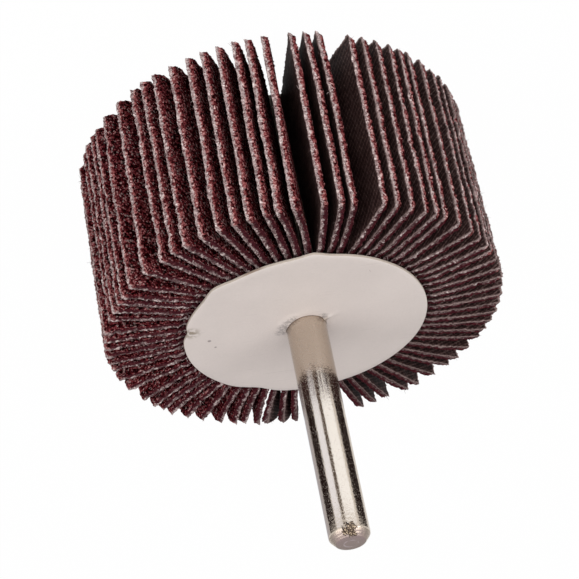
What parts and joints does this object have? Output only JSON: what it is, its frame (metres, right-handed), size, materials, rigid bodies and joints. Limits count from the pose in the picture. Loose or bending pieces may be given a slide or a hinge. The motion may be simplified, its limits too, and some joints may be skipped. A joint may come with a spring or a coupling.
{
  "type": "flap wheel",
  "caption": "Mounted flap wheel: abrasive cloth flaps fanned round a resin core between two card discs, on a straight steel shank.",
  "frame": {"origin": "centre of the rear cover disc's outer face, on the spindle's axis", "axes": "+Z along the spindle towards its free end, X and Y across the wheel, with the picture's viewer on the -Y side"},
  "size_m": [0.0599, 0.0599, 0.0681],
  "materials": {
    "bright_steel": "bright, with fine lengthwise drawing marks",
    "abrasive_cloth": "coarse maroon grain on twill cloth, with pale frayed cut edges",
    "white_card": "smooth off-white, slightly marked"
  },
  "bodies": {
    "root": {"spindle": "bright_steel", "flap_pack": "abrasive_cloth", "shank_side_disc": "white_card", "rear_disc": "white_card"}
  },
  "joints": []
}
